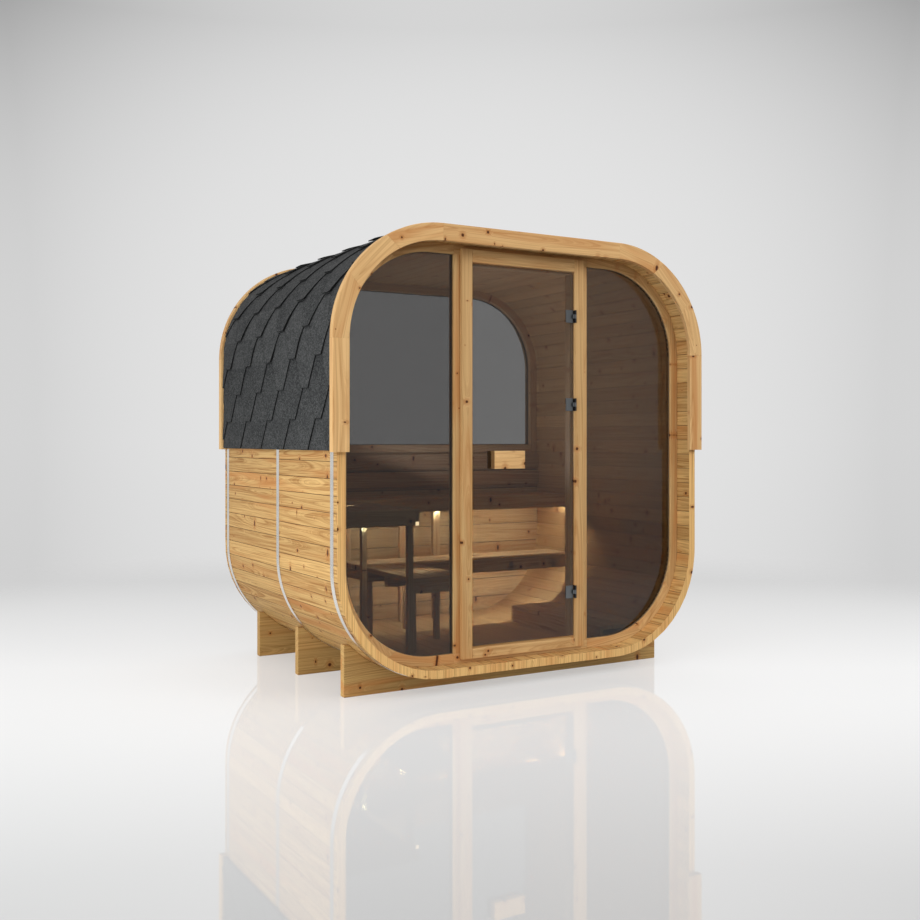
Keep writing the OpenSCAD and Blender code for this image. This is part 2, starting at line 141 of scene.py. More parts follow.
def make_mesh(name, verts, faces, attributes, smooth_below, shortest=0.0):
    """A mesh with outward normals, smooth but for edges sharper than an angle in degrees.

    Each attribute is a name, a type, a domain and its values. Shorter edges are dissolved.
    """
    mesh = bpy.data.meshes.new(name)
    mesh.from_pydata(verts, [], faces)
    for key, kind, domain, values in attributes:
        flat = values if kind == "FLOAT" else [c for value in values for c in value]
        made = mesh.attributes.new(key, kind, domain)
        made.data.foreach_set(ATTRIBUTE_FIELDS[kind], flat)
    work = bmesh.new()
    work.from_mesh(mesh)
    if shortest:
        bmesh.ops.dissolve_degenerate(work, dist=shortest, edges=work.edges)
    bmesh.ops.recalc_face_normals(work, faces=work.faces)
    work.to_mesh(mesh)
    work.free()
    mesh.polygons.foreach_set("use_smooth", [True] * len(mesh.polygons))
    mesh.set_sharp_from_angle(angle=math.radians(smooth_below))
    return mesh


def finish_piece(name, mesh, material, nodes=(), body="cabin"):
    """Links a mesh as a piece that rides on a body and stands for CAD nodes."""
    piece = bpy.data.objects.new(name, mesh)
    bpy.context.scene.collection.objects.link(piece)
    mesh.materials.append(material)
    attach(piece, body)
    if nodes:
        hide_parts(*nodes)


def chamfered(a0, a1, b0, b1, cut):
    """Corner points of a rectangle with small chamfers."""
    return [
        (a0 + cut, b0), (a1 - cut, b0), (a1, b0 + cut), (a1, b1 - cut),
        (a1 - cut, b1), (a0 + cut, b1), (a0, b1 - cut), (a0, b0 + cut),
    ]


def shrunk(points, by):
    """A ring of points drawn in by a length towards its middle, for chamfered ends."""
    middle = sum(points, Vector()) / len(points)
    size = max((p - middle).length for p in points)
    return [middle + (p - middle) * (1 - by / size) for p in points]


class Timber:
    """Boards joined in one mesh, each cut from its own place in a log.

    The attribute "grain" holds each vertex's place in that log: along it, across it and in
    its depth. "tint" holds the board's own colour, lightness and warmth. "seam" is how dark
    the faces of grooves and joints are: painted shade on the grooves' faces, and the dark line
    of the joints. "facing" is 1 on the shell's end faces, which show one continuous upright
    grain and are painted lighter than the boards' other faces, as painted light.
    """

    def __init__(self, seed, variety=1.0):
        self.random = random.Random(seed)
        self.variety = variety
        self.verts, self.faces = [], []
        self.grain, self.tint, self.seam, self.facing = [], [], [], []

    def board(self, rings, along, dark=(), dark_ends=0.0, facing=False):
        """Adds a closed board through equal rings of points, with its grain along a direction.

        The sides numbered in dark are groove faces, which get painted shade, and dark_ends is how
        dark its end joints are.
        """
        draw = self.random
        count = len(rings[0])
        base = len(self.verts)
        points = [p for ring in rings for p in ring]
        middle = sum(points, Vector()) / len(points)
        along = Vector(along).normalized()
        sides = [rings[0][i] - rings[0][i - 1] for i in range(count)]
        sides = [side - along * side.dot(along) for side in sides]

        def run(side):
            """Total length of the sides that lie along this one."""
            return sum(s.length for s in sides if abs(s.dot(side)) > 0.99 * s.length * side.length)

        across = max(sides, key=run).normalized()
        depth = along.cross(across)
        place = Vector((
            draw.uniform(0, 60),
            draw.uniform(-0.03, 0.03),
            draw.choice((-1, 1)) * draw.uniform(0.012, 0.08),
        ))
        tilt = draw.uniform(-0.014, 0.014), draw.uniform(-0.02, 0.02)
        tint = [0.5 + self.variety * draw.uniform(-0.5, 0.5) for _ in range(3)] + [1.0]
        for p in points:
            step = p - middle
            far = step.dot(along)
            self.grain.append(place + Vector((
                far, step.dot(across) + tilt[0] * far, step.dot(depth) + tilt[1] * far)))
            self.tint.append(tint)

        self.verts += points
        self.faces.append([base + i for i in range(count)])
        self.faces.append([base + len(points) - count + i for i in range(count)])
        self.seam += [0.0 if facing else dark_ends] * 2
        self.facing += [float(facing)] * 2
        for r in range(len(rings) - 1):
            end_seam = dark_ends if r in (0, len(rings) - 2) else 0.0
            low, high = base + r * count, base + (r + 1) * count
            for i in range(count):
                j = (i + 1) % count
                self.faces.append([low + i, low + j, high + j, high + i])
                self.seam.append(1.0 if i in dark else end_seam)
                self.facing.append(0.0)

    def beam(self, low, high, axis, cut=FINE_CUT, dark_ends=0.0):
        """Adds a straight board with chamfered edges between two corners, its grain on an axis."""
        low, high = Vector(low), Vector(high)
        a, b = [i for i in range(3) if i != axis]
        profile = chamfered(low[a], high[a], low[b], high[b], cut)
        rings = []
        for place in (low[axis], low[axis] + cut, high[axis] - cut, high[axis]):
            ring = []
            for u, v in profile:
                point = Vector((0, 0, 0))
                point[axis], point[a], point[b] = place, u, v
                ring.append(point)
            rings.append(shrunk(ring, cut) if place in (low[axis], high[axis]) else ring)
        self.board(rings, [float(i == axis) for i in range(3)], dark_ends=dark_ends)

    def round_rim(self, profile, s0, s1, slant0=0.0, slant1=0.0, dark_ends=0.0):
        """Adds a board sawn to the outline from s0 to s1, with a profile of (y, g) points.

        A slant skews the joint at that end: the length that it moves for each metre outwards.
        """
        depths = [g for _, g in profile]
        g_mid = (min(depths) + max(depths)) / 2
        reach = max(abs(g - g_mid) for g in depths) * max(abs(slant0), abs(slant1))
        cuts = [(s0, slant0), (s0 + JOINT, slant0)]
        cuts += [(s, 0.0) for s in rim_stops(s0, s1, reach)[1:-1]]
        cuts += [(s1 - JOINT, slant1), (s1, slant1)]
        rings = [[on_rim(s + slant * (g - g_mid), y, g) for y, g in profile] for s, slant in cuts]
        chord = rim(s1, g_mid) - rim(s0, g_mid)
        self.board(rings, (chord.x, 0, chord.y), dark_ends=dark_ends)

    def piece(self, name, material, slot, nodes=(), body="cabin"):
        """Makes the boards into one piece."""
        mesh = make_mesh(name, self.verts, self.faces, (
            ("seam", "FLOAT", "FACE", self.seam),
            ("facing", "FLOAT", "FACE", self.facing),
            ("grain", "FLOAT_VECTOR", "POINT", self.grain),
            ("tint", "FLOAT_COLOR", "POINT", self.tint)), smooth_below=25, shortest=1e-4)
        finish_piece(name, mesh, material, nodes, body)


# -------------------- materials

class Shader:
    """The nodes of a new material or world, made and joined by short calls."""

    def __init__(self, name, kind="Material"):
        owners = bpy.data.worlds if kind == "World" else bpy.data.materials
        self.owner = owners.new(name)
        self.owner.use_nodes = True
        self.tree = self.owner.node_tree
        self.tree.nodes.clear()
        self.output = self.tree.nodes.new("ShaderNodeOutput" + kind)

    def node(self, kind, inputs=None, **settings):
        """A new node with its settings made and its inputs fed."""
        made = self.tree.nodes.new("ShaderNode" + kind)
        for key, value in settings.items():
            setattr(made, key, value)
        for key, value in (inputs or {}).items():
            self.feed(made.inputs[key], value)
        return made

    def feed(self, socket, value):
        """Joins a socket to another one, or sets its number or colour."""
        if isinstance(value, bpy.types.NodeSocket):
            self.tree.links.new(value, socket)
        else:
            socket.default_value = value

    def maths(self, operation, *values, clamp=False):
        made = self.node("Math", operation=operation, use_clamp=clamp)
        for socket, value in zip(made.inputs, values):
            self.feed(socket, value)
        return made.outputs[0]

    def plus(self, a, b, clamp=False):
        return self.maths("ADD", a, b, clamp=clamp)

    def times(self, a, b):
        return self.maths("MULTIPLY", a, b)

    def line(self, value, slope, start):
        """The value times slope, plus start."""
        return self.maths("MULTIPLY_ADD", value, slope, start)

    def remap(self, value, low, high, to_low=0.0, to_high=1.0, smooth=True):
        """The value's place between low and high, turned into one between two other ends."""
        made = self.node("MapRange", {"Value": value, "From Min": low, "From Max": high,
                                      "To Min": to_low, "To Max": to_high})
        made.interpolation_type = "SMOOTHSTEP" if smooth else "LINEAR"
        return made.outputs[0]

    def vector(self, x, y, z=0.0):
        return self.node("CombineXYZ", {0: x, 1: y, 2: z}).outputs[0]

    def axes(self, vector):
        return self.node("SeparateXYZ", {0: vector}).outputs

    def dot(self, a, b):
        made = self.node("VectorMath", {0: a, 1: b}, operation="DOT_PRODUCT")
        return made.outputs["Value"]

    def grey(self, value):
        return self.node("CombineColor", {0: value, 1: value, 2: value}).outputs[0]

    def channels(self, shade):
        return self.node("SeparateColor", {0: shade}).outputs

    def mix(self, factor, a, b, blend="MIX"):
        """Mixes two colours."""
        made = self.node("Mix", {"Factor": factor, 6: a, 7: b}, data_type="RGBA", blend_type=blend)
        return made.outputs[2]

    def mix_vectors(self, factor, a, b):
        return self.node("Mix", {0: factor, 4: a, 5: b}, data_type="VECTOR").outputs[1]

    def mix_shaders(self, factor, a, b):
        return self.node("MixShader", {0: factor, 1: a, 2: b}).outputs[0]

    def noise(self, vector, scale=1.0, detail=2.0, rough=0.5, dimensions="3D"):
        """Cloudy noise: its level and its three channels."""
        place = "W" if dimensions == "1D" else "Vector"
        return self.node("TexNoise", {"Scale": scale, "Detail": detail, "Roughness": rough,
                                      place: vector}, noise_dimensions=dimensions).outputs

    def cells(self, vector, scale, **settings):
        """Cells round scattered points: the distance to the nearest, and a colour for each."""
        return self.node("TexVoronoi", {"Vector": vector, "Scale": scale}, **settings).outputs

    def bump(self, height, strength, distance):
        return self.node("Bump", {"Height": height, "Strength": strength,
                                  "Distance": distance}).outputs[0]

    def attribute(self, name, output="Fac"):
        return self.node("Attribute", attribute_name=name).outputs[output]

    def place(self):
        """The point on the object, in metres."""
        return self.node("TexCoord").outputs["Object"]

    def seen(self):
        """1 for what shows to the camera, also in a mirror or pane, and 0 for what gives light."""
        path = self.node("LightPath").outputs
        total = self.plus(path["Is Camera Ray"], path["Is Glossy Ray"])
        return self.plus(total, path["Is Transmission Ray"], clamp=True)

    def finish(self, shader):
        """Ends the nodes in a shader and gives the material or world."""
        self.tree.links.new(shader, self.output.inputs["Surface"])
        return self.owner

    def principled(self, inputs):
        return self.finish(self.node("BsdfPrincipled", inputs).outputs[0])


def colour(red, green, blue):
    """A colour written in the usual 0 to 255, as the linear values that sockets take."""
    def linear(c):
        c /= 255
        return c / 12.92 if c <= 0.04045 else ((c + 0.055) / 1.055) ** 2.4
    return (linear(red), linear(green), linear(blue), 1.0)


WHITE = (1, 1, 1, 1)
# Tint of the shell's end faces: the depth and warmth of their grain, and a lightness above any
# board's, which is painted light
END_FACE_TINT_AND_PAINTED_LIGHT = (0.05, 2.1, 0.4, 1.0)
RINGS_PER_METRE = 240
FRONT_NICHE = 0.12  # depth of the part of the inner face that is out of doors


def wood(name, pale, deep, knots, streaky=0.45, calm=0.0):
    """Flat-sawn softwood: arched growth rings, long streaks, round knots and spike knots.

    Knots is the share of the log's cells that hold one. Calm is how much weaker the figure
    is on the shell's inner face, inside the cabin. The faces of grooves get painted shade,
    and the shell's end faces get painted light.
    """
    m = Shader(name)
    place = m.place()
    spot = m.axes(place)
    facing = m.attribute("facing")
    upright = m.vector(spot[2], spot[0], 0.05)
    grain = m.mix_vectors(facing, m.attribute("grain", "Vector"), upright)
    # On the shell's end faces the tint's lightness is painted light
    own_depth, own_light_and_end_light, own_warmth = m.channels(
        m.mix(facing, m.attribute("tint", "Color"), END_FACE_TINT_AND_PAINTED_LIGHT))[:3]
    x, y, z = m.axes(grain)

    def stretched(along, across):
        """The place in the log, scaled along and across the grain."""
        return m.vector(m.times(x, along), m.times(y, across), m.times(z, across))

    def knot(x_scale, y_scale, radius, bare):
        """Distance from the nearest knot's middle, over its radius; it goes through the board.

        Bare is the share of cells without a knot.
        """
        cell = m.vector(m.times(x, x_scale), m.times(y, y_scale))
        spots = m.cells(cell, 1.0, voronoi_dimensions="2D")
        pick = m.channels(spots["Color"])[0]
        size = m.remap(pick, bare, 1.0, 0.2 * radius, radius, smooth=False)
        size = m.maths("MAXIMUM", m.times(size, m.maths("GREATER_THAN", pick, bare)), 1e-5)
        ratio = m.maths("DIVIDE", m.maths("DIVIDE", spots["Distance"], x_scale), size)
        wobble = m.noise(grain, 90, 2)[0]
        return m.plus(ratio, m.line(wobble, 0.6, -0.3))

    round_knots = knot(6.0, 6.0, 0.0095, 1 - knots)
    spike_knots = knot(7.0, 3.6, 0.009, 1 - 0.5 * knots)
    nearest = m.maths("MINIMUM", round_knots, spike_knots)

    # Distance from the pith, which wanders, so the rings run out of the face as arches
    wander = m.channels(m.noise(m.times(x, 0.9), 1, 1, dimensions="1D")["Color"])
    pith_y = m.plus(y, m.line(wander[0], 0.05, -0.025))
    pith_z = m.plus(z, m.line(wander[1], 0.06, -0.03))
    radius = m.maths("SQRT", m.plus(m.times(pith_y, pith_y), m.times(pith_z, pith_z)))
    bulge = m.times(m.remap(nearest, 0.6, 4.5, 1.0, 0.0), 0.007)
    ripple = m.times(m.noise(stretched(3.0, 26.0), 1, 2)[0], 0.006)
    radius = m.plus(m.plus(radius, bulge), ripple)

    # Late wood darkens each ring's outer part, and some bands of rings are darker than others
    late = m.maths("POWER", m.maths("FRACT", m.times(radius, RINGS_PER_METRE)), 3.0)
    bands = m.noise(m.vector(m.times(x, 0.3), m.times(radius, 200)), 1, 5, 0.7, "2D")[0]
    streaks = m.noise(stretched(1.2, 130.0), 1, 3, 0.6)[0]
    patches = m.noise(stretched(1.3, 14.0), 1, 2, 0.6)[0]
    fibre = m.noise(stretched(14.0, 800.0), 1, 2)[0]

    depth = m.times(m.remap(bands, 0.4, 0.64), 0.45)
    depth = m.plus(depth, m.times(late, 0.22))
    depth = m.plus(depth, m.times(m.remap(streaks, 0.45, 0.68), streaky))
    depth = m.plus(depth, m.line(own_depth, 0.3, -0.15))
    depth = m.plus(depth, m.line(fibre, 0.2, -0.1), clamp=True)
    warm = m.times(m.remap(patches, 0.46, 0.68), m.remap(own_warmth, 0.1, 0.9, 0.15, 0.7))
    clear = 1.0
    if calm:
        axis = (0, 0, MID_Z)
        from_axis = m.node("VectorMath", {0: place, 1: axis}, operation="SUBTRACT").outputs[0]
        normal = m.node("TexCoord").outputs["Normal"]
        faces_in = m.maths("LESS_THAN", m.dot(from_axis, normal), -0.3)
        indoors = m.maths("LESS_THAN", m.maths("ABSOLUTE", spot[1]), -FRONT_Y - FRONT_NICHE)
        quiet = m.times(m.times(faces_in, indoors), calm)
        depth = m.line(quiet, m.maths("SUBTRACT", 0.4, depth), depth)
        warm = m.line(quiet, m.maths("SUBTRACT", 0.3, warm), warm)
        clear = m.maths("SUBTRACT", 1.0, quiet)
    body = m.mix(depth, pale, deep)
    body = m.mix(warm, body, colour(190, 124, 66))
    body = m.mix(1.0, body, m.grey(m.line(own_light_and_end_light, 0.16, 0.92)), "MULTIPLY")

    # Each knot has a warm halo, a dark edge and a nearly black heart
    halo = m.times(m.remap(nearest, 1.0, 3.4, 1.0, 0.0), 0.5)
    edge = m.times(m.remap(nearest, 0.75, 1.15, 1.0, 0.0), clear)
    heart = m.times(m.remap(nearest, 0.25, 0.7, 1.0, 0.0), clear)
    # Painted shade on the faces of grooves, and the dark line of the joints
    seam = m.times(m.times(m.attribute("seam"), 0.78), clear)
    body = m.mix(halo, body, colour(176, 108, 54))
    body = m.mix(edge, body, colour(98, 56, 28))
    body = m.mix(m.times(heart, 0.75), body, colour(60, 32, 18))
    body = m.mix(seam, body, colour(84, 53, 28))

    relief = m.plus(m.times(late, 0.5), m.times(fibre, 0.5))
    relief = m.plus(relief, m.remap(nearest, 0.6, 1.1, 0.6, 0.0))
    return m.principled({
        "Base Color": body, "Roughness": m.line(bands, 0.16, 0.49),
        "Normal": m.bump(relief, 0.35, 0.0005), "Specular IOR Level": 0.2})


def shingle_felt():
    """Charcoal mineral granules on bitumen, darker and lighter by the tab, with a painted shadow
    line along its cut edges and its cut sides painted near black.
    """
    m = Shader("shingle_felt")
    place = m.place()
    tone, from_edge = m.channels(m.attribute("tint", "Color"))[:2]
    grains = m.cells(place, 480.0)
    fine, glint = m.channels(grains["Color"])[:2]
    coarse = m.channels(m.cells(place, 170.0)["Color"])[0]
    cloud = m.noise(place, 12, 3, 0.6)[0]
    amount = m.line(fine, 0.34, -0.02)
    amount = m.plus(amount, m.times(m.maths("POWER", coarse, 2.0), 0.62))
    amount = m.plus(amount, m.times(m.maths("GREATER_THAN", glint, 0.95), 0.4))
    amount = m.plus(amount, m.line(cloud, 0.3, -0.15))
    amount = m.plus(amount, m.line(tone, 0.2, -0.1), clamp=True)
    body = m.mix(amount, colour(37, 38, 39), colour(94, 94, 94))
    # The cut sides are painted near black: the bare bitumen, with painted shade in the gaps under
    # the tabs. The shadow line is a painted shadow along each tab's cut edges.
    cut_side = m.times(m.attribute("seam"), 0.8)
    shadow_line = m.times(m.remap(from_edge, 0.025, 0.085, 1.0, 0.0), 0.6)
    body = m.mix(m.maths("MAXIMUM", cut_side, shadow_line), body, colour(20, 20, 20))
    height = m.maths("SUBTRACT", 1.0, grains["Distance"])
    return m.principled({
        "Base Color": body, "Roughness": 0.95,
        "Normal": m.bump(height, 0.6, 0.0012), "Specular IOR Level": 0.15})


def tinted_pane(name, through, both_faces):
    """Float glass seen through without bending: a tint at each face and a mirror by the angle.

    Fixed panes mirror on the face that looks out of the cabin, and the door on both.
    """
    m = Shader(name)
    mirror = m.node("BsdfGlossy", {"Color": WHITE, "Roughness": 0.0}).outputs[0]
    clear = m.node("BsdfTransparent", {"Color": through}).outputs[0]
    front = m.maths("SUBTRACT", 1.0, m.node("NewGeometry").outputs["Backfacing"])
    share = m.times(m.node("Fresnel", {"IOR": 1.42}).outputs[0], front)
    if not both_faces:
        spot = m.node("TexCoord").outputs
        share = m.times(share, m.maths("GREATER_THAN", m.dot(spot["Object"], spot["Normal"]), 0.0))
    return m.finish(m.mix_shaders(share, clear, mirror))


def brushed_metal(name, shade, rough, streak_scale):
    """Metal with fine rolling marks and faint clouding."""
    m = Shader(name)
    place = m.place()
    stretched = m.node("Mapping", {"Vector": place, "Scale": streak_scale}).outputs[0]
    marks = m.noise(stretched, 1, 3)[0]
    cloud = m.remap(m.noise(place, 7, 3)[0], 0.3, 0.7)
    dull = [c * 0.86 for c in shade[:3]] + [1]
    return m.principled({
        "Base Color": m.mix(cloud, shade, dull), "Metallic": 1.0,
        "Roughness": m.line(marks, 0.2, rough - 0.1), "Normal": m.bump(marks, 0.12, 0.0002)})


def seal_rubber():
    """Dull brown sealing profile."""
    m = Shader("seal_rubber")
    grain = m.noise(m.place(), 400, 2)[0]
    body = m.mix(grain, colour(84, 70, 54), colour(104, 88, 68))
    return m.principled({"Base Color": body, "Roughness": 0.7})


def light_strip():
    """Frosted diffuser, lit from within by a row of warm diodes, bright at its open end."""
    m = Shader("light_strip")
    diodes = m.line(m.noise(m.place(), 60, 2)[0], 1.3, 3.5)
    normal = m.axes(m.node("NewGeometry").outputs["Normal"])
    level = m.times(diodes, m.remap(normal[1], -0.5, -0.9, 0.1, 1.0))
    return m.principled({
        "Base Color": colour(240, 214, 170), "Roughness": 0.4,
        "Emission Color": colour(255, 226, 176), "Emission Strength": level})


stave_wood = wood("stave_wood", colour(219, 178, 116), colour(150, 99, 45), knots=0.65, calm=0.6)
trim_wood = wood("trim_wood", colour(229, 188, 131), colour(187, 136, 82), knots=0.9, streaky=0.3)
frame_wood = wood("frame_wood", colour(212, 173, 119), colour(170, 123, 72), knots=0.5, streaky=0.4)
saddle_wood = wood("saddle_wood", colour(202, 163, 103), colour(150, 110, 62), knots=0.65)
bench_wood = wood("bench_wood", colour(212, 174, 122), colour(166, 118, 70), knots=0.45)

# -------------------- staves

STAVE_COUNT = 97
SEAM_Z = 1.101  # height of one joint between staves, on the left side
SLOT, SLOT_DEPTH = 0.0003, 0.006  # from the chamfers into the joints


def build_staves():
    """Flat staves set round the outline, with V joints outside and inside."""
    timber = Timber(11)
    pitch = PERIMETER / STAVE_COUNT
    start = BOTTOM_RIGHT + 2 * ARC_X + QUARTER + (SEAM_Z - (MID_Z - ARC_Z))
    for k in range(STAVE_COUNT):
        s0, s1 = start + k * pitch, start + (k + 1) * pitch
        outside, inside = [(rim(s0, g), rim(s1, g)) for g in (0.0, -STAVE_T)]
        width = (outside[1] - outside[0]).length

        # Shares a across the stave and b through it, for the points round its section
        u, v = FINE_CUT / width, FINE_CUT / STAVE_T
        e, d = SLOT / width, SLOT_DEPTH / STAVE_T
        section = []
        for a, b in ((u, 0), (1 - u, 0), (1 - e, v), (1 - e, d), (1, d), (1, 1 - v), (1 - u, 1),
                     (u, 1), (0, 1 - v), (0, d), (e, d), (e, v)):
            section.append(outside[0].lerp(outside[1], a).lerp(inside[0].lerp(inside[1], a), b))
        rings = [[Vector((p.x, y, p.y)) for p in section] for y in (FRONT_Y, BACK_Y)]
        # The chamfers and slot walls of the V joints get painted shade
        timber.board(rings, (0, 1, 0), dark=(1, 2, 5, 7, 10, 11), facing=True)
    timber.piece("shell_staves", stave_wood, "stave_wood", [
        "floor_staves", "ceiling_staves", "left_wall_staves", "right_wall_staves",
        "corner_bottom_left", "corner_bottom_right", "corner_top_left", "corner_top_right"])


build_staves()

# -------------------- saddles

SADDLE_STEPS = 64
SEAT_GAP = 0.0004  # between the saddles and the shell


def build_saddles():
    """Boards on edge, sawn out to the shell's underside."""
    timber = Timber(12)
    names = ["saddle_front", "saddle_middle", "saddle_back"]
    for name in names:
        low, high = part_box(name)
        end = high.x - CUT
        stops = [-end + 2 * end * i / SADDLE_STEPS for i in range(SADDLE_STEPS + 1)]
        stops = sorted(stops + [-high.x, -ARC_X, ARC_X, high.x])
        rings = []
        for x in stops:
            top = min(high.z, underside(x) - SEAT_GAP)
            ring = [Vector((x, y, z)) for y, z in chamfered(low.y, high.y, low.z, top, CUT)]
            rings.append(shrunk(ring, CUT) if abs(x) == high.x else ring)
        timber.board(rings, (1, 0, 0))
    timber.piece("saddles", saddle_wood, "saddle_wood", names)


build_saddles()

# -------------------- trims and frames

HEAD = [(-TOP_RIGHT, TOP_RIGHT, 0.0, 0.0)]
TRIM_GAP, FRAME_GAP = 0.0003, 0.0002  # to the staves


def stretches(joints, slants):
    """The stretches of the outline between neighbouring joints, with the slants at their ends."""
    return list(zip(joints, joints[1:], slants, slants[1:]))


def corner_stretches(count, slant, leg):
    """The right top corner in equal stretches with skewed joints, and the straight leg below it."""
    joints = [TOP_RIGHT + QUARTER * k / count for k in range(count + 1)]
    slants = [0.0] + [slant if k % 2 else -slant for k in range(1, count)] + [0.0]
    return stretches(joints + [RIGHT_TOP + leg], slants + [0.0])


def both_sides(side):
    """Stretches on the right, and the same ones mirrored on the left, slants included."""
    return side + [(-s1, -s0, -slant1, -slant0) for s0, s1, slant0, slant1 in side]


def build_trims(end, seed):
    """Boards round one end of the roof: a head, corners glued from three pieces each, and legs."""
    timber = Timber(seed, 0.5)
    names = [f"{end}_trim_{part}" for part in
             ("top", "corner_left", "corner_right", "leg_left", "leg_right")]
    low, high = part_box(names[0])
    leg = MID_Z + ARC_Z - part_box(names[-1])[0].z
    lip, face = sorted((abs(low.y), abs(high.y)))
    wall = -FRONT_Y
    inner, outer = low.z - MID_Z - HALF_H, high.z - MID_Z - HALF_H
    profile = [
        (face, inner + CUT), (face - CUT, inner), (wall, inner), (wall, TRIM_GAP), (lip, TRIM_GAP),
        (lip, outer - CUT), (lip + CUT, outer), (face - CUT, outer), (face, outer - CUT),
    ]
    outwards = -1 if end == "front" else 1
    profile = [(outwards * y, g) for y, g in profile]
    for stretch in HEAD + both_sides(corner_stretches(3, 0.35, leg)):
        timber.round_rim(profile, *stretch, dark_ends=0.25)
    timber.piece(f"{end}_trims", trim_wood, "trim_wood", names)


build_trims("front", 21)
build_trims("back", 22)

frame_lo, frame_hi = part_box("front_frame_left")
rail_lo, rail_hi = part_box("front_head_rail")
POST_X = rail_hi.x
WALL_Y, WALL_BACK_Y = frame_lo.y, frame_hi.y
OPEN_G = -STAVE_T - (rail_hi.z - rail_lo.z)  # edge of the glazed openings


def frame_profile(y0, y1):
    """Section of a frame that lies against the staves' inner side."""
    return chamfered(y0, y1, OPEN_G, -STAVE_T - FRAME_GAP, CUT)


def build_front_frame():
    """Frame round the front wall: curved stiles glued from segments, with straight rails."""
    timber = Timber(23, 0.6)
    profile = frame_profile(WALL_Y, WALL_BACK_Y)
    joints = [POST_X]
    joints += [TOP_RIGHT + QUARTER * share for share in (0.3, 0.72)]
    joints += [RIGHT_BOTTOM + QUARTER * share for share in (0.28, 0.7)]
    joints.append(PERIMETER / 2 - POST_X)
    for stretch in both_sides(stretches(joints, [0.0, 0.6, -0.6, 0.6, -0.6, 0.0])):
        timber.round_rim(profile, *stretch, dark_ends=0.4)
    for name in ("front_head_rail", "front_bottom_rail"):
        timber.beam(*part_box(name), ALONG_X)
    timber.piece("front_frame", frame_wood, "frame_wood", [
        "front_frame_left", "front_frame_right", "front_head_rail", "front_bottom_rail"])


build_front_frame()


def hinge_heights():
    """Middles of the hinges and their height, from the gaps between the CAD hinges' vertices."""
    heights = sorted({round(v.co.z, 4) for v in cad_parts["hinge_leaves"].data.vertices})
    groups = [[heights[0]]]
    for z in heights[1:]:
        if z - groups[-1][-1] > 0.1:
            groups.append([])
        groups[-1].append(z)
    return [(g[0] + g[-1]) / 2 for g in groups], groups[0][-1] - groups[0][0]


SILL_FALL, HINGE_GAP = 0.010, 0.0004


def build_door_frame():
    """Posts beside the door with the casing boards, the head and the sloping sill on them."""
    timber = Timber(29, 0.6)
    for name in ("door_post_left", "door_post_right"):
        timber.beam(*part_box(name), ALONG_Z, SOFT_CUT)
    low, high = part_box("door_casing")
    glass_lo, glass_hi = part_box("door_glass")
    gap = glass_lo.y - low.y + 0.002  # round the leaf
    half = glass_hi.x + gap
    sill_z, head_z = glass_lo.z - gap, glass_hi.z + gap
    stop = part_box("door_post_right")[0].x  # the leaf shuts against the posts
    bottom_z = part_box("front_bottom_rail")[1].z

    timber.beam(low, (-half, WALL_Y, high.z), ALONG_Z, CUT)

    # The right casing board is notched for the hinges, down to CUT in front of the posts
    hinge_zs, hinge_h = hinge_heights()
    notch_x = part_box("hinge_bases")[1].x + HINGE_GAP
    levels = [(low.z, half), (low.z + CUT, half)]
    for middle in hinge_zs:
        bottom, top = middle - hinge_h / 2, middle + hinge_h / 2
        levels += [(bottom, half), (bottom, notch_x), (top, notch_x), (top, half)]
    levels += [(high.z - CUT, half), (high.z, half)]
    rings = []
    for z, inner in levels:
        ring = [Vector((x, y, z)) for x, y in (
            (inner, low.y), (high.x - CUT, low.y), (high.x, low.y + CUT), (high.x, WALL_Y),
            (half, WALL_Y), (half, WALL_Y - CUT), (inner, WALL_Y - CUT))]
        rings.append(shrunk(ring, CUT) if z in (low.z, high.z) else ring)
    timber.board(rings, (0, 0, 1))

    timber.beam((-half, low.y, head_z), (half, WALL_Y, high.z), ALONG_X, CUT)
    timber.beam((-stop, WALL_Y, head_z - (half - stop)), (stop, WALL_BACK_Y, rail_lo.z),
                ALONG_X, CUT)
    timber.beam((-stop, WALL_Y, bottom_z), (stop, WALL_BACK_Y, sill_z), ALONG_X, CUT)
    edge_z = sill_z - SILL_FALL
    sill = [(low.y, low.z), (WALL_Y, low.z), (WALL_Y, sill_z),
            (low.y + CUT, edge_z), (low.y, edge_z - CUT)]
    timber.board([[Vector((x, y, z)) for y, z in sill] for x in (-half, half)], (1, 0, 0))
    timber.piece("door_frame", frame_wood, "frame_wood",
                 ["door_post_left", "door_post_right", "door_casing"])


build_door_frame()


def build_handle():
    """Two solid wooden grips, one on each side of the glass, with rounded edges."""
    timber = Timber(31)
    low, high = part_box("door_handle")
    glass_lo, glass_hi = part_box("door_glass")
    for y0, y1 in ((low.y, glass_lo.y), (glass_hi.y, high.y)):
        # Both ends of each grip are darkened all over
        timber.beam((low.x, y0, low.z), (high.x, y1, high.z), ALONG_X, dark_ends=1.0)
    timber.piece("door_grips", trim_wood, "handle_wood", ["door_handle"], body="door")


build_handle()

# -------------------- back wall

BACK_BOARD_W = 0.114
BACK_STEP = 0.012  # between the points that follow the wall's curve
REBATE = 0.0004
BOARD_GAP = 0.0005


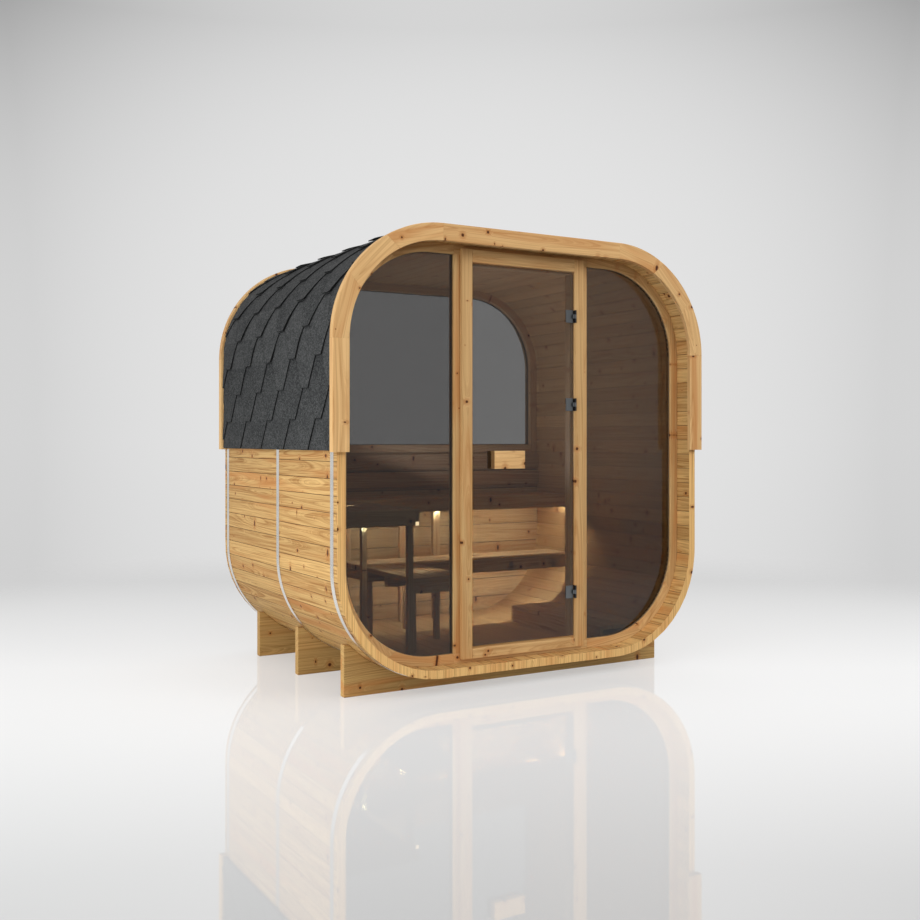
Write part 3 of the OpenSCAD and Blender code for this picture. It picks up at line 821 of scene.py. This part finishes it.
def build_back_wall():
    """Tongued boards up to the window, its rail, and the frame round the window."""
    timber = Timber(41)
    low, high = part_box("back_boards")
    top = high.z
    while top > low.z + 0.001:
        bottom = max(low.z, top - BACK_BOARD_W)
        steps = max(2, math.ceil((top - bottom) / BACK_STEP))
        levels = [bottom + CUT + (top - bottom - 2 * CUT) * i / steps for i in range(steps + 1)]
        levels = [bottom + REBATE, *levels, top - REBATE]
        tucks = [CUT] + [0.0] * (steps + 1) + [CUT]
        profile = [(low.y + tuck, z) for z, tuck in zip(levels, tucks)]
        profile += [(high.y - tuck, z) for z, tuck in zip(reversed(levels), tucks)]
        rings = []
        for side in (-1, 1):
            rings.append([Vector((side * (half_width(z, -STAVE_T) - BOARD_GAP), y, z))
                          for y, z in profile])
        count = len(levels)
        # The faces at the joints between boards get painted shade
        ends = {0, count - 2, count - 1, count, 2 * count - 2, 2 * count - 1}
        timber.board(rings, (1, 0, 0), dark=ends)
        top = bottom
    timber.beam(*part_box("back_rail"), ALONG_X)
    frame_low, frame_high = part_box("back_frame")
    leg = MID_Z + ARC_Z - frame_low.z
    profile = frame_profile(frame_low.y, frame_high.y)
    for stretch in HEAD + both_sides(corner_stretches(2, 0.5, leg)):
        timber.round_rim(profile, *stretch, dark_ends=1.0)
    timber.piece("back_wall", frame_wood, "frame_wood",
                 ["back_boards", "back_rail", "back_frame"])


build_back_wall()

# -------------------- benches and step

SLAT_T, SLAT_W, SLAT_GAP = 0.028, 0.088, 0.008
EDGE_T, LEG_T, POST_W, LIGHT_T = 0.022, 0.030, 0.045, 0.018
WALL_GAP = 0.001

# Each bench has a wing along the left wall and a part along the back wall. WING_X and BACK_Y
# are their front faces, and EDGE_X and EDGE_Y the inner sides of the edge boards there.
upper_lo, upper_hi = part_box("upper_bench")
UPPER_WING_X, UPPER_BACK_Y = -INNER_X + 0.510, upper_hi.y - 0.350
UPPER_EDGE_X, UPPER_EDGE_Y = UPPER_WING_X - EDGE_T, UPPER_BACK_Y + EDGE_T
UPPER_LEG_YS = (upper_lo.y + EDGE_T, upper_lo.y + 0.550)
BACK_POSTS = [UPPER_WING_X + step for step in (0.069, 0.431, 0.657)]

lower_lo, lower_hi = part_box("lower_bench")
LOWER_WING_X, LOWER_BACK_Y = lower_lo.x + 0.320, lower_hi.y - 0.300
LOWER_EDGE_Y = LOWER_BACK_Y + EDGE_T
LOWER_LEG_YS = (lower_lo.y + EDGE_T, (lower_lo.y + LOWER_BACK_Y) / 2)
RIGHT_INSET = 0.200  # of the last bearers before the right wall


def spread(low, high):
    """Start and end of each slat that fills the stretch between two places evenly."""
    count = math.floor((high - low + SLAT_GAP) / (SLAT_W + SLAT_GAP) + 1e-6)
    pitch = (high - low + SLAT_GAP) / count
    return [(low + k * pitch, low + (k + 1) * pitch - SLAT_GAP) for k in range(count)]


def build_upper_bench():
    """Slats along both walls, with edge boards in front of them and bearers under them."""
    timber = Timber(51)
    low, high = upper_lo, upper_hi
    slat_z = high.z - SLAT_T
    for x0, x1 in spread(low.x, UPPER_EDGE_X):
        timber.beam((x0, low.y + EDGE_T, slat_z), (x1, high.y, high.z), ALONG_Y, SOFT_CUT)
    for y0, y1 in spread(UPPER_EDGE_Y, high.y):
        timber.beam((UPPER_EDGE_X, y0, slat_z), (high.x, y1, high.z), ALONG_X, SOFT_CUT)
    timber.beam(low, (UPPER_EDGE_X, low.y + EDGE_T, high.z), ALONG_X, SOFT_CUT)
    timber.beam((UPPER_EDGE_X, low.y, low.z + LIGHT_T), (UPPER_WING_X, UPPER_EDGE_Y, high.z),
                ALONG_Y, SOFT_CUT)
    timber.beam((UPPER_WING_X, UPPER_BACK_Y, low.z), (high.x, UPPER_EDGE_Y, high.z),
                ALONG_X, SOFT_CUT)
    for y in (*UPPER_LEG_YS, UPPER_BACK_Y - LEG_T, high.y - LEG_T):
        timber.beam((low.x, y, low.z), (UPPER_EDGE_X, y + LEG_T, slat_z), ALONG_X)
    for x in BACK_POSTS + [high.x - RIGHT_INSET]:
        timber.beam((x, UPPER_EDGE_Y, low.z), (x + POST_W, high.y, slat_z), ALONG_Y)
    timber.piece("upper_bench_boards", bench_wood, "bench_wood", ["upper_bench"])


def build_lower_bench():
    """The same as the upper bench, lower and narrower, without an edge board along its wing."""
    timber = Timber(52)
    low, high = lower_lo, lower_hi
    slat_z = high.z - SLAT_T
    wall_x, foot_x = [half_width(z, -STAVE_T) - WALL_GAP for z in (slat_z, low.z)]
    for x0, x1 in spread(low.x, LOWER_WING_X):
        timber.beam((x0, low.y + EDGE_T, slat_z), (x1, LOWER_EDGE_Y, high.z), ALONG_Y, SOFT_CUT)
    for y0, y1 in spread(LOWER_EDGE_Y, high.y):
        timber.beam((low.x, y0, slat_z), (wall_x, y1, high.z), ALONG_X, SOFT_CUT)
    timber.beam(low, (LOWER_WING_X, low.y + EDGE_T, high.z), ALONG_X, SOFT_CUT)
    timber.beam((LOWER_WING_X, LOWER_BACK_Y, low.z), (foot_x, LOWER_EDGE_Y, high.z),
                ALONG_X, SOFT_CUT)
    for y in (*LOWER_LEG_YS, LOWER_BACK_Y - 2 * LEG_T):
        timber.beam((low.x, y, low.z), (LOWER_WING_X, y + LEG_T, slat_z), ALONG_X)
    for x in (low.x, LOWER_WING_X - LEG_T, INNER_X / 2, INNER_X - RIGHT_INSET):
        timber.beam((x, LOWER_BACK_Y, low.z), (x + LEG_T, high.y, slat_z), ALONG_Y)
    timber.piece("lower_bench_boards", bench_wood, "bench_wood", ["lower_bench"])


def build_legs():
    """Legs and posts down to the curved or flat floor."""
    timber = Timber(53)
    legs = [(UPPER_EDGE_X - LEG_T, y, LEG_T, upper_lo.z) for y in UPPER_LEG_YS]
    legs += [(x, lower_hi.y, POST_W, upper_lo.z) for x in BACK_POSTS]
    legs += [(lower_lo.x, y, LEG_T, lower_lo.z)
             for y in (LOWER_LEG_YS[0], LOWER_BACK_Y - 2 * LEG_T)]
    legs += [(LOWER_WING_X - LEG_T, y, LEG_T, lower_lo.z)
             for y in (*LOWER_LEG_YS, LOWER_EDGE_Y + POST_W)]
    for x, y, width, top in legs:
        timber.beam((x, y, underside(x, -STAVE_T)), (x + width, y + LEG_T, top),
                    ALONG_Z, SOFT_CUT)
    timber.piece("bench_legs", bench_wood, "bench_wood", ["bench_posts"])


def build_backrest():
    """Two boards one above the other, along the left wall and along the back wall."""
    timber = Timber(54)
    low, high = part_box("backrest")
    board_w, cut = 0.095, 0.004
    x, y = low.x + EDGE_T, high.y - EDGE_T
    for z in (low.z, high.z - board_w):
        timber.beam((low.x, low.y, z), (x, high.y, z + board_w), ALONG_Y, cut)
        timber.beam((x, y, z), (high.x, high.y, z + board_w), ALONG_X, cut)
    timber.piece("backrest_boards", bench_wood, "bench_wood", ["backrest"])


def build_side_step():
    """Riser and three top boards; the last one is cut to the curved wall."""
    timber = Timber(55)
    low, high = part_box("side_step")
    gap = 0.004
    under_z = high.z - EDGE_T
    timber.beam(low, (low.x + EDGE_T, high.y, under_z), ALONG_Y, CUT)
    wall_x, wall_top_x = [half_width(z, -STAVE_T) - WALL_GAP for z in (under_z, high.z)]
    pitch = (wall_x - low.x) / 3
    for x in (low.x, low.x + pitch):
        timber.beam((x, low.y, under_z), (x + pitch - gap, high.y, high.z), ALONG_Y, SOFT_CUT)
    x = low.x + 2 * pitch
    profile = [(x, under_z), (wall_x, under_z), (wall_top_x, high.z),
               (x + SOFT_CUT, high.z), (x, high.z - SOFT_CUT)]
    timber.board([[Vector((x, y, z)) for x, z in profile] for y in (low.y, high.y)], (0, 1, 0))
    timber.piece("side_step_boards", bench_wood, "bench_wood", ["side_step"])


build_upper_bench()
build_lower_bench()
build_legs()
build_backrest()
build_side_step()

# -------------------- shingles

TAB_PITCH, TAB_END, TAB_SLANT, EXPOSURE = 0.3155, 0.079, 0.079, 0.1452
TAB_STEPS, STRIP_STEPS, STRIP_COLUMNS, CAP_COLUMNS = 6, 7, 24, 8
ROOF_ROWS = 13
ROW_CENTRES = (-0.4487, -0.6085)  # of one tab in the even rows and one in the odd rows
FELT_T, FELT_GAP = 0.0048, 0.0002
FAR_FROM_EDGE = 0.05  # points further from the cut edges count as this far
CAP_HALF_W = 0.125
END_GAP, LAP, CAP_LAP = 0.001, 0.02, 0.03
DECK_TONE, DECK_LOW_G, DECK_GAP = 0.2, 0.0026, 0.0006


def shares(count):
    """Shares of a length, from 0 to 1 in equal steps."""
    return [i / count for i in range(count + 1)]


class Roof:
    """Plates of felt and their deck, joined in one mesh.

    A length up starts at an eave and follows the covering's own surface to the ridge. "tint"
    holds each plate's tone and each point's distance from the plate's cut edges, and "seam" is
    1 on the plates' sides.
    """

    def __init__(self):
        self.random = random.Random(61)
        low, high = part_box("roof_covering")
        self.y0, self.y1 = low.y + END_GAP, high.y - END_GAP
        self.top_g = high.z - MID_Z - HALF_H
        self.eave = RIGHT_TOP + MID_Z + ARC_Z - low.z
        self.arc_gain = (CORNER_R + self.top_g) / CORNER_R
        self.leg = self.eave - RIGHT_TOP
        self.arc_end = self.leg + QUARTER * self.arc_gain
        self.verts, self.faces, self.tints, self.seams = [], [], [], []

    def place(self, side, up, y, g):
        """The point at a length up from the eave, on one side of the roof."""
        if up < self.leg:
            s = self.eave - up
        elif up < self.arc_end:
            s = RIGHT_TOP - (up - self.leg) / self.arc_gain
        else:
            s = TOP_RIGHT - (up - self.arc_end)
        return on_rim(side * s, y, g)

    def slab(self, top, low, tone, from_edge=None):
        """A closed plate between two equal grids of points, with dark sides.

        from_edge gives each point's distance from the plate's cut edges, for the painted shadow
        line along them.
        """
        rows, columns = len(top), len(top[0])
        base = len(self.verts)
        for grid in (top, low):
            for r, row in enumerate(grid):
                self.verts += row
                for c in range(columns):
                    away = from_edge[r][c] if from_edge else FAR_FROM_EDGE
                    self.tints.append((tone, min(away / FAR_FROM_EDGE, 1.0), 0.0, 1.0))

        def at(r, c, under=0):
            return base + (under * rows + r) * columns + c

        def add(face, seam):
            self.faces.append(face)
            self.seams.append(seam)

        for r in range(rows - 1):
            for c in range(columns - 1):
                # The first corner is the one nearest the edges, so the quad is split towards it
                for under in (0, 1):
                    quad = [at(r, c, under), at(r, c + 1, under),
                            at(r + 1, c + 1, under), at(r + 1, c, under)]
                    add(quad if 2 * c < columns - 1 else quad[1:] + quad[:1], 0.0)
            for c in (0, columns - 1):
                add([at(r, c), at(r + 1, c), at(r + 1, c, 1), at(r, c, 1)], 1.0)
        for c in range(columns - 1):
            for r in (0, rows - 1):
                add([at(r, c), at(r, c + 1), at(r, c + 1, 1), at(r, c, 1)], 1.0)

    def felt(self, side, rows, tone, from_edge=None):
        """A plate of felt through rows of points, each with its length up, its ys and its gs."""
        top, low = [
            [[self.place(side, up, y, g - under) for y, g in zip(ys, gs)] for up, ys, gs in rows]
            for under in (0.0, FELT_T - FELT_GAP)]
        self.slab(top, low, tone, from_edge)

    def tab(self, side, bottom, centre, strip_tone):
        """One tab, wider upwards, with its free end a little curled and stiff on the bend."""
        draw = self.random
        curl = [draw.uniform(0.0, 0.004) * draw.random() for _ in range(3)]
        bent = self.leg < bottom + EXPOSURE / 2 < self.arc_end
        stiff = draw.uniform(0.05, 0.35) * bent * EXPOSURE**2 / (2 * CORNER_R)
        tone = 0.35 * strip_tone + 0.65 * draw.random()
        rows, from_edge = [], []
        for part in shares(TAB_STEPS):
            up = EXPOSURE * part
            half = TAB_END / 2 + TAB_SLANT * part
            a, b = max(self.y0, centre - half), min(self.y1, centre + half)
            if b - a < 0.001:
                continue
            ys = [a + (b - a) * share for share in shares(TAB_STEPS)]
            free = 1 - part
            g = self.top_g - FELT_T * part + curl[2] * math.sin(math.pi * free)
            lifts = [curl[0] + (curl[1] - curl[0]) * share + stiff for share in shares(TAB_STEPS)]
            rows.append((bottom + up, ys, [g + lift * free**2 for lift in lifts]))
            from_edge.append([min(up, y - a, b - y) for y in ys])
        if len(rows) > 1:
            self.felt(side, rows, tone, from_edge)

    def strip(self, side, row, tone):
        """The uncut part of a course, above its tabs, or the whole first strip for row -1."""
        bottom = max(row, 0) * EXPOSURE
        start, stop, sunk = 0.0, 2 * EXPOSURE, FELT_T
        if row >= 0:
            to_ridge = self.arc_end + ARC_X - bottom
            start, stop, sunk = EXPOSURE, min(2 * EXPOSURE + LAP, to_ridge), 0.0
        ys = [self.y0 + (self.y1 - self.y0) * share for share in shares(STRIP_COLUMNS)]
        rows = []
        for part in shares(STRIP_STEPS):
            up = start + (stop - start) * part
            g = self.top_g - sunk - FELT_T * up / EXPOSURE
            rows.append((bottom + up, ys, [g] * len(ys)))
        self.felt(side, rows, tone)

    def deck(self):
        """The thin deck under the shingles."""
        top_g = self.top_g - 3 * FELT_T - DECK_GAP
        stops = rim_stops(-self.eave, self.eave)
        top, low = [[[on_rim(s, y, g) for y in (self.y0, self.y1)] for s in stops]
                    for g in (top_g, DECK_LOW_G)]
        self.slab(top, low, DECK_TONE)

    def ridge_caps(self):
        """Caps along the ridge, lapped towards the front."""
        xs = [CAP_HALF_W * (2 * share - 1) for share in shares(CAP_COLUMNS)]
        ridge_z = MID_Z + HALF_H + self.top_g + 0.0005
        for k in range(math.ceil((self.y1 - self.y0) / EXPOSURE)):
            a = self.y0 + k * EXPOSURE
            b = min(a + EXPOSURE + CAP_LAP, self.y1)
            top, low = [
                [[(x, y, ridge_z + FELT_T * (lift - under)) for x in xs]
                 for y, lift in ((a, 1.6), (b, 0.9))]
                for under in (0.0, 0.8)]
            self.slab(top, low, self.random.random())

    def piece(self):
        """Makes the plates into one piece."""
        mesh = make_mesh("roof_shingles", self.verts, self.faces, (
            ("seam", "FLOAT", "FACE", self.seams),
            ("tint", "FLOAT_COLOR", "POINT", self.tints)), smooth_below=35)
        finish_piece("roof_shingles", mesh, shingle_felt(), ["roof_covering"])


def build_roof():
    """Courses of strips with tabs, each resting on the one below, over a thin deck."""
    roof = Roof()
    for side in (-1, 1):
        for row in range(-1, ROOF_ROWS):
            strip_tone = roof.random.random()
            centre = ROW_CENTRES[row % 2] - 2 * TAB_PITCH
            while row >= 0 and centre < roof.y1 + TAB_PITCH:
                roof.tab(side, row * EXPOSURE, centre, strip_tone)
                centre += TAB_PITCH
            roof.strip(side, row, strip_tone)
    roof.deck()
    roof.ridge_caps()
    roof.piece()


build_roof()

# -------------------- glazing seals

SEAL_T, SEAL_H, SEAL_CUT = 0.004, 0.003, 0.0006


def build_seals():
    """Thin rubber profiles that hold the panes in their frames."""
    timber = Timber(71)

    def on_both_faces(low, high):
        """The ys of the seals on a pane's two faces, and their profile along the frame."""
        for y in (low.y - SEAL_T, high.y):
            yield y, y + SEAL_T, chamfered(y, y + SEAL_T, OPEN_G - SEAL_H, OPEN_G, SEAL_CUT)

    low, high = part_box("front_window_left")
    for y0, y1, profile in on_both_faces(low, high):
        timber.round_rim(profile, POST_X, PERIMETER / 2 - POST_X)
        timber.round_rim(profile, POST_X - PERIMETER / 2, -POST_X)
        for x in (-POST_X - SEAL_H, POST_X):
            timber.beam((x, y0, low.z), (x + SEAL_H, y1, high.z), ALONG_Z, SEAL_CUT)
    low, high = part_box("back_window")
    end = RIGHT_TOP + MID_Z + ARC_Z - low.z
    for y0, y1, profile in on_both_faces(low, high):
        timber.round_rim(profile, -end, end)
        timber.beam((low.x, y0, low.z), (high.x, y1, low.z + SEAL_H), ALONG_X, SEAL_CUT)
    timber.piece("glazing_seals", seal_rubber(), "tinted_glass")


build_seals()

# -------------------- CAD nodes that stay


def dress(name, material):
    """Gives a CAD node its material."""
    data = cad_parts[name].data
    data.materials.clear()
    data.materials.append(material)


window_glass = tinted_pane("window_glass", (0.48, 0.48, 0.48, 1), both_faces=False)
dress("front_window_left", window_glass)
dress("front_window_right", window_glass)
dress("back_window", tinted_pane("back_glass", (0.68, 0.677, 0.675, 1), both_faces=False))
dress("door_glass", tinted_pane("leaf_glass", (0.585, 0.586, 0.586, 1), both_faces=True))
dress("bands", brushed_metal("band_steel", colour(243, 240, 234), 0.25, (2, 900, 2)))
dress("hinge_leaves", brushed_metal("hinge_steel", colour(112, 115, 117), 0.4, (60, 60, 900)))
dress("hinge_bases", brushed_metal("hinge_dark", colour(62, 62, 64), 0.4, (60, 60, 900)))
dress("bench_lights", light_strip())

# -------------------- camera, floor and light

HEADING = math.radians(30.27)  # of the camera, and of the backdrop that it looks at
AHEAD = (math.sin(HEADING), math.cos(HEADING), 0)
ASIDE = (math.cos(HEADING), -math.sin(HEADING), 0)


def build_camera():
    """A level camera at standing height, turned to the right, with its picture shifted."""
    camera = bpy.data.objects.new("camera", bpy.data.cameras.new("camera"))
    bpy.context.scene.collection.objects.link(camera)
    camera.location = (-3.032, -5.254, 1.202)
    camera.rotation_euler = (math.radians(90), 0, -HEADING)
    camera.data.sensor_width = 36
    camera.data.lens = 42.93
    camera.data.shift_y = -0.0228
    bpy.context.scene.camera = camera


def build_world():
    """Even white light, with a grey backdrop for the camera, darker upwards and to both sides."""
    m = Shader("studio", "World")
    way = m.node("TexCoord").outputs["Generated"]
    height = m.axes(way)[2]
    wide = m.maths("ABSOLUTE", m.maths("DIVIDE", m.dot(way, ASIDE), 0.36), clamp=True)
    high = m.maths("DIVIDE", height, 0.35, clamp=True)
    low = m.maths("DIVIDE", height, -0.15, clamp=True)
    corner = m.times(m.maths("POWER", wide, 2.0), m.maths("POWER", high, 3.0))
    level = 0.89
    for shade, weight in ((m.maths("POWER", wide, 4.0), 0.065), (m.maths("POWER", high, 6.0), 0.06),
                          (corner, 0.125), (low, 0.02)):
        level = m.maths("SUBTRACT", level, m.times(shade, weight))
    backdrop = m.grey(m.maths("POWER", level, 2.2))
    shown = m.node("Background", {"Color": backdrop, "Strength": 1.0}).outputs[0]
    strength = m.times(m.remap(height, 0.0, 1.0, 0.72, 1.05, smooth=False),
                       m.remap(height, -0.1, 0.0, 0.2, 1.0))
    light = m.node("Background", {"Color": WHITE, "Strength": strength}).outputs[0]
    bpy.context.scene.world = m.finish(m.mix_shaders(m.seen(), light, shown))


def build_floor():
    """Wide pale polished floor, brighter towards the backdrop, into which it melts far away."""
    mesh = bpy.data.meshes.new("floor")
    reach = 16
    corners = [(-reach, -reach, 0), (reach, -reach, 0), (reach, reach, 0), (-reach, reach, 0)]
    mesh.from_pydata(corners, [], [(0, 1, 2, 3)])
    m = Shader("floor")
    place = m.place()
    away = m.node("VectorMath", {0: place}, operation="LENGTH").outputs["Value"]
    ahead = m.dot(place, AHEAD)
    paint = m.mix(m.remap(ahead, -4.2, -0.9), colour(210, 210, 210), colour(252, 252, 252))
    paint = m.mix(m.remap(ahead, -0.3, 3.2, smooth=False), paint, colour(212, 212, 212))
    seen = m.seen()
    dull = m.mix(1.0, paint, colour(100, 100, 100), "MULTIPLY")
    matt = m.node("BsdfDiffuse", {"Color": m.mix(seen, dull, paint)}).outputs[0]
    lit = m.node("Emission", {"Color": paint, "Strength": 0.97}).outputs[0]
    mirror = m.node("BsdfGlossy", {"Color": WHITE, "Roughness": 0.0}).outputs[0]
    clear = m.node("BsdfTransparent").outputs[0]
    shader = m.mix_shaders(0.23, m.mix_shaders(m.times(seen, 0.6), matt, lit), mirror)
    mesh.materials.append(m.finish(m.mix_shaders(m.remap(away, 3.3, 6.2), shader, clear)))
    floor = bpy.data.objects.new("floor", mesh)
    bpy.context.scene.collection.objects.link(floor)


def area_light(name, place, target, size, power, tint=(1, 1, 1), spread=180):
    """A soft lamp that lights the scene but isn't itself seen or mirrored."""
    data = bpy.data.lights.new(name, "AREA")
    data.shape = "RECTANGLE"
    data.size, data.size_y = size
    data.energy = power
    data.color = tint
    data.spread = math.radians(spread)
    lamp = bpy.data.objects.new(name, data)
    bpy.context.scene.collection.objects.link(lamp)
    lamp.location = place
    lamp.rotation_euler = (Vector(target) - Vector(place)).to_track_quat("-Z", "Y").to_euler()
    lamp.visible_glossy = False
    lamp.visible_camera = False


def light_object():
    """Three studio lamps, from the left, from low on the left, and from high in front."""
    area_light("key", (-5.5, -2.8, 3.2), (0, 0, 1.0), (3.0, 3.0), 33)
    area_light("low_fill", (-4.4, -1.5, 0.3), (-0.8, -0.2, 0.4), (2.4, 0.5), 92, (0.94, 1.0, 1.0))
    area_light("front_fill", (1.5, -5.0, 4.2), (0, 0, 1.0), (2.5, 2.5), 84)


def light_benches():
    """The light strips' own light, the glow on the posts' tops, and a cool fill in the cabin."""
    cool = (0.78, 0.91, 1.0)
    thin = 0.003
    below = SLAT_T + LIGHT_T + 0.002
    for name, x, y, top, length, power in (
            ("under_upper_back", 0.24, UPPER_EDGE_Y + 0.005, upper_hi.z, 1.52, 8.4),
            ("under_lower_back", 0.25, LOWER_EDGE_Y + 0.004, lower_hi.z, 1.3, 6.8)):
        z = top - below
        area_light(name, (x, y, z), (x, y + 0.06, z - 0.1), (length, thin), power, cool)
    x, y, z = upper_hi.x - 0.14, UPPER_EDGE_Y - 0.08, upper_lo.z - 0.05
    area_light("upper_back_end", (x, y, z), (upper_hi.x, y - 0.1, z - 0.2), (0.05, 0.05), 0.26,
               (1.0, 0.95, 0.95), 80)
    x, y = UPPER_EDGE_X + LIGHT_T / 2, (upper_lo.y + UPPER_EDGE_Y) / 2
    area_light("under_upper_wing", (x, y, upper_lo.z - 0.002), (x - 0.3, y, upper_lo.z - 0.5),
               (thin, UPPER_EDGE_Y - upper_lo.y), 1.5, cool, 150)
    tops = [(x, lower_hi.y, POST_W, 0.008, 0.4) for x in BACK_POSTS]
    tops.append((UPPER_EDGE_X - LEG_T, UPPER_LEG_YS[1], LEG_T, 0.03, 0.18))
    for k, (x, y, width, drop, power) in enumerate(tops):
        x, z = x + width / 2, upper_lo.z - drop
        area_light(f"post_glow_{k}", (x, y - 0.03, z), (x, y, z - 0.01), (width, 0.01), power,
                   (0.62, 0.92, 1.0), 100)
    area_light("cabin_fill", (0, 0, 1.0), (0.3, 0, 2.0), (1.0, 0.6), 12.5, (0.58, 0.68, 1.0))


build_camera()
build_world()
build_floor()
light_object()
light_benches()

bpy.context.scene.view_settings.view_transform = "Standard"
